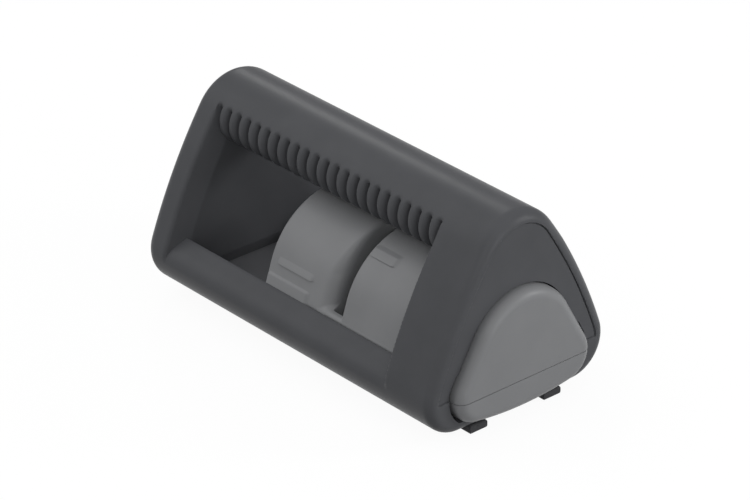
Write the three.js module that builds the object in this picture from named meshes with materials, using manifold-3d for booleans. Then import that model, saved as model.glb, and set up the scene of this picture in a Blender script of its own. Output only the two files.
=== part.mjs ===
// Hand-held knife sharpener: a tent-shaped housing whose ridge is the grip, and a sliding carriage under it.
// Millimetres, +Z up, X along the grip, origin on the table under the middle of the object.
// The carriage's slot stands over the coarse wheel when pushed in, and over the fine wheel when pulled out.
import * as THREE from "three";
import { mergeVertices } from "three/addons/utils/BufferGeometryUtils.js";
import Module from "manifold-3d";

const wasm = await Module();
wasm.setup();

// Clearances
const seatGap = 0.1; // under a flat face that rests on another
const fitGap = 0.3; // around a piece that is fixed in a seat
const slideGap = 0.4; // around a piece that slides
const axleGap = 0.1; // around the axle, which the wheels turn on
const turnGap = 0.2; // beside a wheel that turns, and around the core of a screw
const cutPast = 1; // how far a cutting solid runs past the face that it opens

// Housing
const housingLength = 146.7;
const ridgeTop = 74.6; // height of the ridge above the table
const footHeight = 3.4; // height of the housing's underside above the table
const ridgeRadius = 18.5;
const flankRadius = 214; // slight bulge of the two sloping faces
const shoulderAngle = 33.75; // slope of the face where the ridge round meets it, degrees from upright
const skirtRadius = 13.6; // round of the two lower long edges
const endFillet = 4.9; // round of the outer edge at both ends
const housingWall = 2.6;
const bulkheadWall = 2.6;

// Windows, grip and sills
const leftFrame = 13.7; // from the left end to the windows
const windowFlare = 3; // the windows' left ends widen by this much towards the outside
const flareDepth = 8; // depth of this widening under the sloping faces
const rightFrame = 22.1; // from the windows to the right end
const gripRadius = 9.2;
const gripAngle = 44; // where the grip's round leaves the ridge, degrees from level
const grooveDrop = 6.2; // from the ridge top to the upper end of the grooves
const grooveDepth = 2.6;
const grooveWidth = 2.4;
const ribCount = 22;
const gripWall = 2; // between the grooves and the hollow of the grip
const sillHeight = 22.9; // inner edge of the sills above the table
const sillInset = 7.6; // inner edge of the sills from the housing's widest line
const sillAngle = 30.5;
const sillThickness = 2.6;

// End panels
const endWall = 4;
const panelThickness = 2.2;
const panelRim = 4.4; // from the housing's outline to the panel's seam
const panelLedge = 1.5; // step that the panel rests on
const panelBottom = 17;
const panelLip = 1.6; // locating lip behind the panel
const blockHollowTop = 20; // hollow of the left end, open below

// Knob, the outer end of the carriage
const knobProud = 4; // stands out of the right end
const knobRim = 3.6; // round of its rim
const knobTop = 48.1;
const knobTopRadius = 22;
const knobInset = 9.6; // from the housing's widest line to the knob's
const knobCornerRadius = 10;
const knobBottom = 5.8;
const knobBow = 1.6; // the underside is lower in the middle than at its corners
const knobGap = 0.5; // dark line around the knob
const railGap = 1.3; // wider line below the notches
const notchHeight = 25.2;

// Carriage
const carriageWall = 2.4;
const seamHeight = 16.1; // where the cover meets the tray
const domeTuck = 1; // its round top is narrower than its upright sides
const domeGap = 3; // between the dome and the grip
const domeSideGap = 1.4; // between the dome's upright sides and the sills
const domeLead = 34.8; // from the slot to the dome's left end
const domeEndRound = 1.5;
const slotGap = 4.6;
const slotMouth = 7.6;
const slotMouthDepth = 2.4;
const bladeClear = 1; // from the slot's lower end to a blade's edge on the wheels
const guideWall = 1.8; // walls beside the slot inside the dome
const archMargin = 2.5; // where these walls pass over the wheels
const padLead = 1.6; // from the dome's left end to the raised pad
const padLength = 20;
const padHeight = 4;
const padProud = 0.7;
const trayBottom = 7.8;
const trayFloor = 3.2;
const trayInset = 7; // from the dome's sides to the tray's

// Base plate and feet
const plateThickness = 2;
const plateRecess = 1.4; // of the plate's underside above the housing's
const plateRim = 2.8; // of the housing beside the plate's underside
const railInset = 3.5; // guide rails from the tray's sides
const railHeight = 2.4;
const railFoot = 2.6; // width where a rail grows from the plate
const railHead = 4; // width of its top, which holds the tray down
const footLength = 12;
const footWidth = 7.5;
const footPlace = 16.45; // from the middle plane
const footInset = 1; // from the end of the housing
const footRound = 1;
const collarRadius = 3; // of the part of a foot that reaches up to the plate
const plugRadius = 2;
const plugPlace = 9; // from the end of the housing

// Wheels on their axle
const coarseStation = 13.2; // place of the slot and of the coarse wheel along X
const travel = 12; // way of the carriage from the coarse wheel to the fine one
const wheelRadius = 10;
const veeDepth = 4.5;
const veeAngle = 20; // grinding angle on each side of the blade
const discWidth = 4.2;
const discGap = 0.3; // between the two discs of a wheel
const hubRadius = 3.4;
const axleRadius = 2;
const axleOverhang = 1.7; // past the cradle, for the clips
const clipThickness = 0.8;
const clipRadius = 3.6;
const clipGroove = 0.4; // depth of the groove in the axle
const clipMouth = 2.9; // opening of a clip
const washerThickness = 0.5;
const washerRadius = 4.2;

// Cradle
const cradleFloor = 2;
const cradleCheek = 5;
const cradleHalfWidth = 9;
const cradleHead = 4.6; // round of the cheeks over the axle
const cheekAngle = 20; // where this round ends, degrees from level
const wheelGap = 0.8; // under the wheels
const cradleMargin = 4; // from the cradle and wheels to the carriage beside them

// Screws
const screwRadius = 1.1;
const screwHeadRadius = 2.3;
const screwHeadHeight = 1.4;
const screwHeadBevel = 0.45;
const screwHold = 5.5; // length inside the boss
const bossRadius = 2.8;
const bossInset = 2; // base screws from the plate's long edges
const bossRib = 2.4;
const bossLead = 14; // base screws from the ends of the windows
const bossTopGap = 0.8; // under the carriage cover
const postRadius = 3;
const postPlace = 10; // carriage screws from the middle plane
const postInset = 4.6; // carriage screws from the cradle's opening

// Detent spring
const leafThickness = 0.4;
const leafWidth = 6;
const leafHalfLength = 9;
const leafHump = 3.6; // half length of the hump
const leafRise = 1.9; // height of the hump
const detentPlace = 14.2; // from the right end to the hump
const leafTab = 1.4; // tab that hooks into the plate
const notchMargin = 1.2; // beside the hump in the tray's notches

// Places that follow from the sizes above
const leftEnd = -(housingLength + knobProud) / 2;
const rightEnd = leftEnd + housingLength;
const knobFace = rightEnd + knobProud;
const windowLeft = leftEnd + leftFrame;
const windowRight = rightEnd - rightFrame;
const rightWallInside = rightEnd - endWall;
const leftWallInside = leftEnd + endWall;
const plateBottom = footHeight + plateRecess;
const plateTop = plateBottom + plateThickness;
const axleHeight = plateTop + cradleFloor + wheelGap + wheelRadius;
const wheelTop = axleHeight + wheelRadius;
const axleBore = axleRadius + axleGap;
const slotFloor = wheelTop - veeDepth - bladeClear;
const fineStation = coarseStation + travel;
const wheelHalfWidth = discWidth + discGap / 2;
const cheekGap = washerThickness + 2 * turnGap;
const cradleLeft = coarseStation - wheelHalfWidth - cheekGap - cradleCheek;
const cradleRight = fineStation + wheelHalfWidth + cheekGap + cradleCheek;
const domeLeft = coarseStation - domeLead;
const domeRight = rightWallInside - travel - 2 * slideGap;
const trayLeft = domeLeft + fitGap;
const trayTop = seamHeight - fitGap / 2;
const coverBottom = seamHeight + fitGap / 2;
const openingLeft = cradleLeft - axleOverhang - travel - slideGap;
const openingRight = cradleRight + axleOverhang + slideGap;
const openingHalfWidth = Math.max(cradleHalfWidth, wheelRadius) + cradleMargin;
const footMiddles = [leftEnd + footInset + footLength / 2, rightEnd - footInset - footLength / 2];
const plugMiddles = [leftEnd + plugPlace, rightEnd - plugPlace];
const bossMiddles = [windowLeft + bossLead, windowRight - bossLead];
const postMiddles = [openingLeft - postInset, openingRight + postInset];
const cradleScrewMiddles = [cradleLeft + cradleCheek / 2, cradleRight - cradleCheek / 2];
const detentMiddle = rightEnd - detentPlace;

// Drawing helpers. Outlines lie in the plane across the grip, as lists of [y, z].
const radians = THREE.MathUtils.degToRad;

function arc(centre, radius, from, to, steps) {
  const points = [];
  for (let i = 0; i <= steps; i++) {
    const angle = radians(from + ((to - from) * i) / steps);
    points.push([centre[0] + radius * Math.cos(angle), centre[1] + radius * Math.sin(angle)]);
  }
  return points;
}

// Direction, in degrees, of the normal of the line that touches two circles on their outer side.
function tangentAngle(upper, upperRadius, lower, lowerRadius) {
  const across = lower[0] - upper[0];
  const down = lower[1] - upper[1];
  const lean = Math.acos((upperRadius - lowerRadius) / Math.hypot(across, down));
  return THREE.MathUtils.radToDeg(Math.atan2(down, across) + lean);
}

// Closes an outline whose right half is given from its start to its end.
function symmetric(rightHalf) {
  const leftHalf = rightHalf.filter(([y]) => y > 1e-6).map(([y, z]) => [-y, z]);
  return [...rightHalf, ...leftHalf.reverse()];
}

function solid(geometry) {
  geometry.deleteAttribute("normal");
  geometry.deleteAttribute("uv");
  const merged = mergeVertices(geometry, 1e-4);
  const made = new wasm.Mesh({
    numProp: 3,
    vertProperties: merged.attributes.position.array,
    triVerts: new Uint32Array(merged.index.array),
  });
  return new wasm.Manifold(made);
}

function extruded(outline, length, round) {
  const shape = new THREE.Shape(outline.map(([a, b]) => new THREE.Vector2(a, b)));
  return new THREE.ExtrudeGeometry(shape, {
    depth: length - 2 * round,
    bevelEnabled: round > 0,
    bevelThickness: round,
    bevelSize: round,
    bevelOffset: -round,
    bevelSegments: 4,
  }).translate(0, 0, round);
}

// A solid with an outline of [y, z] between two places along X, its end edges rounded where asked.
function alongX(outline, from, to, round = 0) {
  const turn = new THREE.Matrix4().set(0, 0, 1, from, 1, 0, 0, 0, 0, 1, 0, 0, 0, 0, 0, 1);
  return solid(extruded(outline, to - from, round).applyMatrix4(turn));
}

// A solid with an outline of [x, z], centred on the middle plane.
function acrossY(outline, width) {
  const turn = new THREE.Matrix4().makeRotationX(Math.PI / 2);
  return solid(extruded(outline, width, 0).translate(0, 0, -width / 2).applyMatrix4(turn));
}

// A solid with an outline of [x, y] that stands between two heights.
function upright(outline, from, to, round = 0) {
  return solid(extruded(outline, to - from, round).translate(0, 0, from));
}

function box(x0, x1, y0, y1, z0, z1) {
  const geometry = new THREE.BoxGeometry(x1 - x0, y1 - y0, z1 - z0);
  return solid(geometry.translate((x0 + x1) / 2, (y0 + y1) / 2, (z0 + z1) / 2));
}

// A turned solid from a profile of [along the axis, radius], about an X or a Z axis.
function turned(profile, axis, sides = 16) {
  const points = profile.map(([along, radius]) => new THREE.Vector2(radius, along));
  const geometry = new THREE.LatheGeometry(points, sides);
  return solid(axis === "x" ? geometry.rotateZ(-Math.PI / 2) : geometry.rotateX(Math.PI / 2));
}

function rod(axis, radius, from, to, sides = 16) {
  return turned([[from, 0], [from, radius], [to, radius], [to, 0]], axis, sides);
}

function tube(axis, inside, outside, from, to, sides = 16) {
  const ring = [[from, inside], [from, outside], [to, outside], [to, inside], [from, inside]];
  return turned(ring, axis, sides);
}

// Outlines of the housing
const ridgeCentre = [0, ridgeTop - ridgeRadius];
const flankReach = ridgeRadius - flankRadius;
const flankCentre = [
  flankReach * Math.cos(radians(shoulderAngle)),
  ridgeCentre[1] + flankReach * Math.sin(radians(shoulderAngle)),
];
const skirtHeight = footHeight + skirtRadius;
const skirtSine = (skirtHeight - flankCentre[1]) / (flankRadius - skirtRadius);
const skirtAngle = THREE.MathUtils.radToDeg(Math.asin(skirtSine));
const skirtCentre = [
  flankCentre[0] + (flankRadius - skirtRadius) * Math.cos(radians(skirtAngle)),
  skirtHeight,
];
const halfWidth = skirtCentre[0] + skirtRadius;
const plateReach = Math.sqrt(skirtRadius ** 2 - (skirtRadius - plateRecess) ** 2);
const plateHalfWidth = skirtCentre[0] + plateReach - plateRim;
const bossPlace = plateHalfWidth - bossInset;
const sillHalfWidth = halfWidth - sillInset;
const domeHalfWidth = sillHalfWidth - domeSideGap;
const domeRadius = domeHalfWidth - domeTuck;
const trayHalfWidth = domeHalfWidth - trayInset;
const railPlace = trayHalfWidth - railInset;

function tentOutline(inset) {
  const corner = Math.max(skirtRadius - inset, fitGap);
  return symmetric([
    ...arc(skirtCentre, corner, -90, skirtAngle, 6),
    ...arc(flankCentre, flankRadius - inset, skirtAngle, shoulderAngle, 5).slice(1),
    ...arc(ridgeCentre, ridgeRadius - inset, shoulderAngle, gripAngle, 2).slice(1),
    ...arc(ridgeCentre, ridgeRadius - inset, gripAngle, 90, 4).slice(1),
  ]);
}

const gripCentre = [
  (ridgeRadius - gripRadius) * Math.cos(radians(gripAngle)),
  ridgeCentre[1] + (ridgeRadius - gripRadius) * Math.sin(radians(gripAngle)),
];
const gripBottom = gripCentre[1] - gripRadius;
const grooveSine = (ridgeTop - grooveDrop - gripCentre[1]) / gripRadius;
const grooveAngle = THREE.MathUtils.radToDeg(Math.asin(grooveSine));

function gripOutline(inset) {
  return symmetric([
    ...arc(gripCentre, gripRadius - inset, -90, gripAngle, 8),
    ...arc(ridgeCentre, ridgeRadius - inset, gripAngle, 90, 4).slice(1),
  ]);
}

const outside = halfWidth + skirtRadius;
const sillSlope = Math.tan(radians(sillAngle));
const sillUnder = sillHeight - sillThickness / Math.cos(radians(sillAngle));

// The windows and the tunnel between them: over the sills and under the grip.
function windowOutline() {
  const leave = arc(ridgeCentre, ridgeRadius, gripAngle, gripAngle, 1)[0];
  const drop = (outside - leave[0]) / Math.tan(radians(gripAngle));
  return symmetric([
    [sillHalfWidth, skirtHeight],
    [sillHalfWidth, sillHeight],
    [outside, sillHeight - sillSlope * (outside - sillHalfWidth)],
    [outside, leave[1] - drop],
    ...arc(gripCentre, gripRadius, gripAngle, -90, 8),
  ]);
}

function belowSillsOutline() {
  return symmetric([
    [outside, 0],
    [outside, sillUnder - sillSlope * (outside - sillHalfWidth)],
    [sillHalfWidth, sillUnder],
  ]);
}

function grooveOutline() {
  return symmetric([
    ...arc(gripCentre, gripRadius + cutPast, -90, grooveAngle, 6),
    ...arc(gripCentre, gripRadius - grooveDepth, grooveAngle, -90, 6),
  ]);
}

// Outline of the knob and of the neck behind it
const knobTopCentre = [0, knobTop - knobTopRadius];
const knobCornerHeight = knobBottom + knobBow + knobCornerRadius;
const knobCornerCentre = [halfWidth - knobInset - knobCornerRadius, knobCornerHeight];
const knobFlankAngle = tangentAngle(knobTopCentre, knobTopRadius, knobCornerCentre, knobCornerRadius);
const bowLift = knobBow + knobCornerRadius;
const bowRadius = (knobCornerCentre[0] ** 2 + bowLift ** 2 - knobCornerRadius ** 2) / (2 * knobBow);
const bowCentre = [0, knobBottom + bowRadius];
const bowAngle = THREE.MathUtils.radToDeg(
  Math.atan2(knobCornerCentre[1] - bowCentre[1], knobCornerCentre[0]),
);

function knobOutline(inset) {
  return symmetric([
    ...arc(bowCentre, bowRadius - inset, -90, bowAngle, 2),
    ...arc(knobCornerCentre, knobCornerRadius - inset, bowAngle, knobFlankAngle, 6),
    ...arc(knobTopCentre, knobTopRadius - inset, knobFlankAngle, 90, 6),
  ]);
}

// Outline of the carriage's dome
const domeTop = gripBottom - domeGap;
const domeCentre = [0, domeTop - domeRadius];

// Its sides stand upright up to the height of the sills, and touch the round above it.
function domeOutline(inset) {
  const radius = domeRadius - inset;
  const knee = [domeHalfWidth - inset, sillHeight];
  const flankAngle = tangentAngle(domeCentre, radius, knee, 0);
  return symmetric([[knee[0], coverBottom], knee, ...arc(domeCentre, radius, flankAngle, 90, 9)]);
}

// Housing

// The two end openings: a seat for the panel, a ledge behind it, both above the panel's lower edge.
function panelOutline(inset) {
  const lowest = panelBottom + inset - panelRim;
  const outline = tentOutline(inset);
  const above = ([, z]) => z > lowest + fitGap;
  const first = outline.findIndex(above);
  const [below, next] = [outline[first - 1], outline[first]];
  const reach = below[0] + ((next[0] - below[0]) * (lowest - below[1])) / (next[1] - below[1]);
  return [[reach, lowest], ...outline.filter(above), [-reach, lowest]];
}

function knobOpening(from, to) {
  const upper = alongX(knobOutline(-knobGap), from, to);
  const lower = alongX(knobOutline(-railGap), from, to);
  const railZone = box(from, to, -outside, outside, trayBottom - slideGap, notchHeight);
  const upperZone = box(from, to, -outside, outside, notchHeight - cutPast, ridgeTop);
  return upper.intersect(upperZone).add(lower.intersect(railZone));
}

// The widening of the windows' left ends: what lies outside a core that tapers towards the windows.
function flareCut() {
  const start = windowLeft - windowFlare;
  const core = wasm.Manifold.hull([
    alongX(tentOutline(0), start - cutPast, start),
    alongX(tentOutline(flareDepth), windowLeft, windowLeft + cutPast),
  ]);
  return alongX(windowOutline(), start, windowLeft + cutPast).subtract(core);
}

function makeHousing() {
  const tent = alongX(tentOutline(0), leftEnd, rightEnd, endFillet);
  const inside = tentOutline(housingWall);
  const hollowLeft = windowLeft - bulkheadWall;
  const ledgeInset = panelRim + panelLedge;
  const seatDepth = panelThickness + seatGap;
  const floorHole = plateHalfWidth + fitGap;
  const bottom = footHeight - cutPast;
  const window = alongX(windowOutline(), windowLeft, windowRight);
  const belowSills = alongX(belowSillsOutline(), windowLeft, rightWallInside);
  const joinSpan = [windowRight - cutPast, windowRight + cutPast];
  const blockHollow = skirtCentre[0] - housingWall;
  const cuts = [
    window,
    flareCut(),
    alongX(inside, windowLeft, rightWallInside).intersect(belowSills),
    alongX(inside, windowRight, rightWallInside),
    alongX(windowOutline(), ...joinSpan).intersect(alongX(inside, ...joinSpan)),
    alongX(gripOutline(grooveDepth + gripWall), hollowLeft - cutPast, windowRight + cutPast),
    box(windowLeft, rightWallInside, -floorHole, floorHole, bottom, skirtHeight),
    box(leftWallInside, windowLeft + cutPast, -floorHole, floorHole, bottom, plateTop + seatGap),
    box(leftWallInside, hollowLeft, -blockHollow, blockHollow, bottom, blockHollowTop),
    alongX(panelOutline(ledgeInset), leftEnd + cutPast, hollowLeft),
    alongX(panelOutline(panelRim), leftEnd - cutPast, leftEnd + seatDepth),
    alongX(panelOutline(ledgeInset), rightWallInside - cutPast, rightEnd - cutPast),
    alongX(panelOutline(panelRim), rightEnd - seatDepth, rightEnd + cutPast),
    knobOpening(rightWallInside - cutPast, rightEnd + cutPast),
  ];
  const groove = grooveOutline();
  const grooveLeft = windowLeft - windowFlare;
  const ribWidth = (windowRight - grooveLeft - (ribCount + 1) * grooveWidth) / ribCount;
  for (let i = 0; i <= ribCount; i++) {
    const from = grooveLeft + i * (grooveWidth + ribWidth);
    cuts.push(alongX(groove, from, from + grooveWidth));
  }
  let shell = tent;
  for (const cut of cuts) {
    shell = shell.subtract(cut);
  }
  const bossSpan = [plateTop + seatGap, seamHeight - bossTopGap];
  for (const x of bossMiddles) {
    for (const side of [-1, 1]) {
      const y = side * bossPlace;
      const reach = [y, side * outside].sort((a, b) => a - b);
      const rib = box(x - bossRib / 2, x + bossRib / 2, ...reach, ...bossSpan);
      const boss = rod("z", bossRadius, ...bossSpan).translate([x, y, 0]);
      const pilot = rod("z", screwRadius + turnGap, bottom, bossSpan[1] - cutPast, 12);
      shell = shell.add(boss.add(rib).intersect(tent)).subtract(pilot.translate([x, y, 0]));
    }
  }
  return shell;
}

// An end panel that is flush with the end, with a lip that locates it behind the ledge.
function makePanel(outerFace, direction) {
  const between = (a, b) => [Math.min(a, b), Math.max(a, b)];
  const plateSpan = between(outerFace, outerFace - direction * panelThickness);
  const lipSpan = between(outerFace - (direction * panelThickness) / 2, outerFace - direction * endWall);
  const lipInset = panelRim + panelLedge + fitGap;
  const lip = alongX(panelOutline(lipInset), ...lipSpan);
  const hollow = alongX(panelOutline(lipInset + panelLip), lipSpan[0] - cutPast, lipSpan[1] + cutPast);
  const plate = alongX(panelOutline(panelRim + fitGap), ...plateSpan);
  return lip.subtract(hollow).add(plate);
}

function makeRightPanel() {
  return makePanel(rightEnd, 1).subtract(knobOpening(rightWallInside - cutPast, rightEnd + cutPast));
}

// Base plate

function railOutline(y, grow) {
  const foot = railFoot / 2 + grow;
  const head = railHead / 2 + grow;
  const top = plateTop + railHeight + grow;
  const root = plateTop - plateThickness / 2;
  return [[y - foot, root], [y + foot, root], [y + head, top], [y - head, top]];
}

function makeBasePlate() {
  const left = leftWallInside + fitGap;
  const right = rightWallInside - fitGap;
  let plate = box(left, right, -plateHalfWidth, plateHalfWidth, plateBottom, plateTop);
  const through = [plateBottom - cutPast, plateTop + cutPast];
  for (const side of [-1, 1]) {
    const rail = alongX(railOutline(side * railPlace, 0), trayLeft + carriageWall, right - fitGap);
    plate = plate.add(rail);
    for (const x of plugMiddles) {
      const hole = rod("z", plugRadius + fitGap, ...through);
      plate = plate.subtract(hole.translate([x, side * footPlace, 0]));
    }
    for (const x of bossMiddles) {
      const hole = rod("z", screwRadius + fitGap, ...through, 12);
      plate = plate.subtract(hole.translate([x, side * bossPlace, 0]));
    }
  }
  for (const x of cradleScrewMiddles) {
    plate = plate.subtract(rod("z", screwRadius + fitGap, ...through, 12).translate([x, 0, 0]));
  }
  for (const end of [-1, 1]) {
    const x = detentMiddle + end * (leafHalfLength - leafThickness / 2);
    const slit = leafThickness / 2 + fitGap;
    const halfSlit = leafWidth / 2 + fitGap;
    plate = plate.subtract(box(x - slit, x + slit, -halfSlit, halfSlit, ...through));
  }
  return plate;
}

// A foot under the housing. Its collar reaches up to the plate, and its plug is pressed into the plate.
function makeFoot(plugOffset) {
  const a = footLength / 2;
  const b = footWidth / 2;
  const block = upright([[-a, -b], [a, -b], [a, b], [-a, b]], 0, footHeight - seatGap, footRound);
  const collar = rod("z", collarRadius, footHeight - footRound, plateBottom - seatGap);
  const plug = rod("z", plugRadius, footHeight - footRound, plateTop - fitGap);
  return block.add(collar.add(plug).translate([plugOffset, 0, 0]));
}

// Carriage

function slotMouthRing() {
  const half = slotGap / 2;
  const flare = (slotMouth - slotGap) / 2 / slotMouthDepth;
  const root = domeRadius - slotMouthDepth;
  const rim = domeRadius + slotMouthDepth;
  const mouth = half + 2 * slotMouthDepth * flare;
  const ring = [[-half, root], [-mouth, rim], [mouth, rim], [half, root], [-half, root]];
  return turned(ring, "x", 40).translate([coarseStation, 0, domeCentre[1]]);
}

function makeCover() {
  const neckStart = domeRight - carriageWall;
  const above = box(domeLeft, knobFace, -outside, outside, coverBottom, ridgeTop);
  const dome = alongX(domeOutline(0), domeLeft, domeRight, domeEndRound);
  const neck = alongX(knobOutline(0), neckStart - 2 * knobRim, knobFace, knobRim);
  const hollowHalf = domeHalfWidth - carriageWall;
  const hollowSpan = [domeLeft + carriageWall, domeRight - carriageWall];
  const domeHollow = alongX(domeOutline(carriageWall), ...hollowSpan);
  const neckHollow = alongX(knobOutline(carriageWall), neckStart - cutPast, knobFace - carriageWall);
  const neckOutside = neck.intersect(box(neckStart, knobFace, -outside, outside, 0, ridgeTop));
  let cover = dome.add(neckOutside).intersect(above);
  const belowEdge = box(...hollowSpan, -hollowHalf, hollowHalf, 0, coverBottom + cutPast);
  cover = cover.subtract(domeHollow).subtract(neckHollow).subtract(belowEdge);
  const padLeft = domeLeft + padLead;
  const padZone = box(padLeft, padLeft + padLength, -outside, outside, sillHeight, sillHeight + padHeight);
  const padShell = alongX(domeOutline(-padProud), domeLeft, domeRight);
  cover = cover.add(padShell.intersect(padZone).subtract(domeHollow));
  const half = slotGap / 2;
  const guideFrom = coarseStation - half - guideWall;
  const guideTo = coarseStation + half + guideWall;
  const archHalf = wheelRadius + archMargin;
  const guides = alongX(domeOutline(carriageWall / 2), guideFrom, guideTo);
  const guideCut = [guideFrom - cutPast, guideTo + cutPast];
  const arch = box(...guideCut, -archHalf, archHalf, 0, wheelTop + wheelGap);
  const belowGuides = box(...guideCut, -outside, outside, 0, slotFloor - guideWall);
  cover = cover.add(guides.subtract(arch).subtract(belowGuides));
  const slotZone = box(domeLeft, domeRight, -outside, outside, slotFloor, ridgeTop);
  const slit = box(coarseStation - half, coarseStation + half, -outside, outside, slotFloor, ridgeTop);
  cover = cover.subtract(slit).subtract(slotMouthRing().intersect(slotZone));
  const postBottom = trayBottom + trayFloor + seatGap;
  for (const x of postMiddles) {
    for (const y of [-postPlace, postPlace]) {
      const post = rod("z", postRadius, postBottom, domeTop).translate([x, y, 0]);
      const inDome = alongX(domeOutline(carriageWall / 2), domeLeft, domeRight);
      const underDome = box(domeLeft, domeRight, -outside, outside, postBottom, coverBottom + cutPast);
      cover = cover.add(post.intersect(inDome.add(underDome)));
      const pilotTop = postBottom + screwHold + cutPast;
      const pilot = rod("z", screwRadius + turnGap, postBottom - cutPast, pilotTop, 12);
      cover = cover.subtract(pilot.translate([x, y, 0]));
    }
  }
  return cover;
}

function makeTray() {
  const neckStart = domeRight + slideGap;
  const floorTop = trayBottom + trayFloor;
  const below = box(trayLeft, knobFace, -outside, outside, 0, trayTop);
  const inHousing = box(trayLeft, rightEnd + fitGap, -outside, outside, 0, trayBottom);
  const frame = box(trayLeft, neckStart + carriageWall, -trayHalfWidth, trayHalfWidth, trayBottom, trayTop);
  const neck = alongX(knobOutline(0), neckStart - 2 * knobRim, knobFace, knobRim);
  const neckOutside = neck.intersect(box(neckStart, knobFace, -outside, outside, 0, ridgeTop));
  let tray = frame.add(neckOutside.intersect(below).subtract(inHousing));
  const side = trayHalfWidth - carriageWall;
  const frameHollow = box(trayLeft + carriageWall, knobFace - carriageWall, -side, side, floorTop, ridgeTop);
  const neckHollow = alongX(knobOutline(carriageWall), neckStart + carriageWall, knobFace - carriageWall);
  const overFloor = box(trayLeft, knobFace, -outside, outside, floorTop, ridgeTop);
  tray = tray.subtract(frameHollow.intersect(below)).subtract(neckHollow.intersect(overFloor));
  tray = tray.subtract(
    box(openingLeft, openingRight, -openingHalfWidth, openingHalfWidth, 0, ridgeTop),
  );
  for (const y of [-railPlace, railPlace]) {
    tray = tray.subtract(alongX(railOutline(y, slideGap), trayLeft - cutPast, rightWallInside));
  }
  const headRoom = screwHeadHeight + fitGap;
  for (const x of postMiddles) {
    for (const y of [-postPlace, postPlace]) {
      const hole = rod("z", screwRadius + fitGap, 0, floorTop + cutPast, 12);
      const sink = rod("z", screwHeadRadius + fitGap, 0, trayBottom + headRoom);
      tray = tray.subtract(hole.add(sink).translate([x, y, 0]));
    }
  }
  const notchTop = plateTop + seatGap + leafThickness + leafRise + slideGap;
  const halfNotch = leafHump + notchMargin;
  for (const x of [detentMiddle, detentMiddle - travel]) {
    const notch = [
      [x - halfNotch, trayBottom - cutPast],
      [x + halfNotch, trayBottom - cutPast],
      [x + halfNotch, trayBottom],
      [x + halfNotch / 2, notchTop],
      [x - halfNotch / 2, notchTop],
      [x - halfNotch, trayBottom],
    ];
    tray = tray.subtract(acrossY(notch, leafWidth + 2 * slideGap));
  }
  return tray;
}

// Wheels, axle and cradle

function makeDisc(side) {
  const face = discGap / 2;
  const rise = veeDepth * Math.tan(radians(veeAngle));
  const bore = hubRadius + fitGap;
  const root = wheelRadius - veeDepth;
  const profile = [
    [face, bore],
    [face, root],
    [face + rise, wheelRadius],
    [wheelHalfWidth, wheelRadius],
    [wheelHalfWidth, bore],
    [face, bore],
  ];
  const placed = profile.map(([along, radius]) => [side * along, radius]);
  return turned(side > 0 ? placed : placed.reverse(), "x", 28);
}

function makeAxle() {
  const left = cradleLeft - axleOverhang;
  const right = cradleRight + axleOverhang;
  const neck = axleRadius - clipGroove;
  const grooveSide = clipThickness / 2 + fitGap / 2;
  const clips = [cradleLeft - axleOverhang / 2, cradleRight + axleOverhang / 2];
  const profile = [[left, 0], [left, axleRadius]];
  for (const x of clips) {
    profile.push([x - grooveSide, axleRadius], [x - grooveSide, neck]);
    profile.push([x + grooveSide, neck], [x + grooveSide, axleRadius]);
  }
  profile.push([right, axleRadius], [right, 0]);
  return turned(profile, "x");
}

// A clip that is pushed on from above, with its mouth open below.
function makeClip() {
  const bore = axleRadius - clipGroove + turnGap;
  const ring = tube("x", bore, clipRadius, -clipThickness / 2, clipThickness / 2);
  const half = clipMouth / 2;
  return ring.subtract(box(-clipThickness, clipThickness, -half, half, -clipRadius - cutPast, 0));
}

function makeCradle() {
  const cheek = [
    [-cradleHalfWidth, plateTop + seatGap],
    [cradleHalfWidth, plateTop + seatGap],
    [cradleHalfWidth, plateTop + 2 * cradleFloor],
    ...arc([0, axleHeight], cradleHead, cheekAngle, 180 - cheekAngle, 10),
    [-cradleHalfWidth, plateTop + 2 * cradleFloor],
  ];
  const floorTop = plateTop + cradleFloor;
  const floor = box(cradleLeft, cradleRight, -cradleHalfWidth, cradleHalfWidth, plateTop + seatGap, floorTop);
  let cradle = floor.add(alongX(cheek, cradleLeft, cradleLeft + cradleCheek));
  cradle = cradle.add(alongX(cheek, cradleRight - cradleCheek, cradleRight));
  const bore = rod("x", axleBore, cradleLeft - cutPast, cradleRight + cutPast);
  cradle = cradle.subtract(bore.translate([0, 0, axleHeight]));
  for (const x of cradleScrewMiddles) {
    const pilot = rod("z", screwRadius + turnGap, plateBottom, plateTop + screwHold + cutPast, 12);
    cradle = cradle.subtract(pilot.translate([x, 0, 0]));
  }
  return cradle;
}

// A screw that is driven upwards: its head's bearing face is at height zero.
function makeScrew(grip) {
  const profile = [
    [-screwHeadHeight, 0],
    [-screwHeadHeight, screwHeadRadius - screwHeadBevel],
    [screwHeadBevel - screwHeadHeight, screwHeadRadius],
    [0, screwHeadRadius],
    [0, screwRadius],
    [grip - screwRadius, screwRadius],
    [grip, 0],
  ];
  return turned(profile, "z", 12);
}

function makeLeaf() {
  const steps = 12;
  const low = plateTop + seatGap;
  const lower = [];
  const upper = [];
  for (let i = 0; i <= steps; i++) {
    const x = -leafHump + (2 * leafHump * i) / steps;
    const lift = (leafRise * (1 + Math.cos((Math.PI * x) / leafHump))) / 2;
    lower.push([detentMiddle + x, low + lift]);
    upper.push([detentMiddle + x, low + lift + leafThickness]);
  }
  const left = detentMiddle - leafHalfLength;
  const right = detentMiddle + leafHalfLength;
  const tab = low - leafTab;
  const outline = [
    [left, tab],
    [left + leafThickness, tab],
    [left + leafThickness, low],
    ...lower,
    [right - leafThickness, low],
    [right - leafThickness, tab],
    [right, tab],
    [right, low + leafThickness],
    ...upper.reverse(),
    [left, low + leafThickness],
  ];
  return acrossY(outline, leafWidth);
}

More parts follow.
